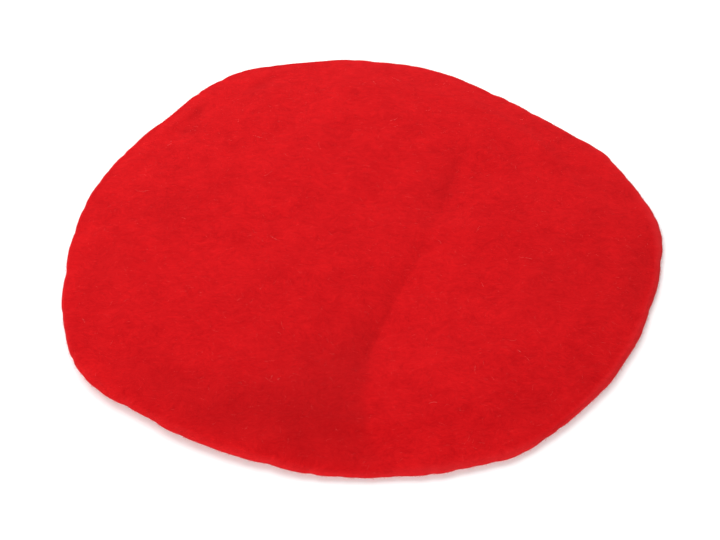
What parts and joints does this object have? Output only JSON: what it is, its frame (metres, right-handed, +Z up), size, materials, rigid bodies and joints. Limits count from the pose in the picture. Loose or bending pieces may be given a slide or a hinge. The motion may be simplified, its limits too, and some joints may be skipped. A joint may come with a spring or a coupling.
{
  "type": "beret",
  "caption": "Cut-and-sewn red felt beret lying flat: wide round crown with a turned rim seam, ring underside, folded headband, grosgrain sweatband with a bow, and two hinged blank labels.",
  "frame": {"origin": "middle of the hat seen from above, on the surface it lies on", "axes": "+Z up through the crown, +X across the widest part of the rim, +Y towards the centre back, where the bow and labels are"},
  "size_m": [0.288, 0.2748, 0.011],
  "materials": {
    "felt": "fine pressed wool felt, matt, with a short fuzz",
    "red_thread": "spun sewing thread",
    "black_thread": "spun sewing thread",
    "grosgrain": "ribbed grosgrain ribbon with a soft sheen",
    "elastic": "braided elastic tape",
    "label": "woven satin tape, blank"
  },
  "bodies": {
    "hat": {"crown_panel": "felt", "underside_panel": "felt", "rim_stitching": "red_thread", "headband": "felt", "elastic_tape": "elastic", "headband_stitching": "red_thread", "sweatband": "grosgrain", "sweatband_stitching": "black_thread", "sweatband_bow": "grosgrain", "bow_knot": "grosgrain", "label_stitching": "black_thread"},
    "size_flap": {"size_label": "label"},
    "care_flap": {"care_label": "label"}
  },
  "joints": [
    {"name": "size_label_hinge", "type": "hinge", "parent": "hat", "child": "size_flap", "pos_m": [0, 0.085, 0.0003], "axis": [1, 0, 0], "range_deg": [-22, 150]},
    {"name": "care_label_hinge", "type": "hinge", "parent": "hat", "child": "care_flap", "pos_m": [-0.0425, 0.07361, 0.0003], "axis": [0.866, 0.5, 0], "range_deg": [-16, 150]}
  ]
}
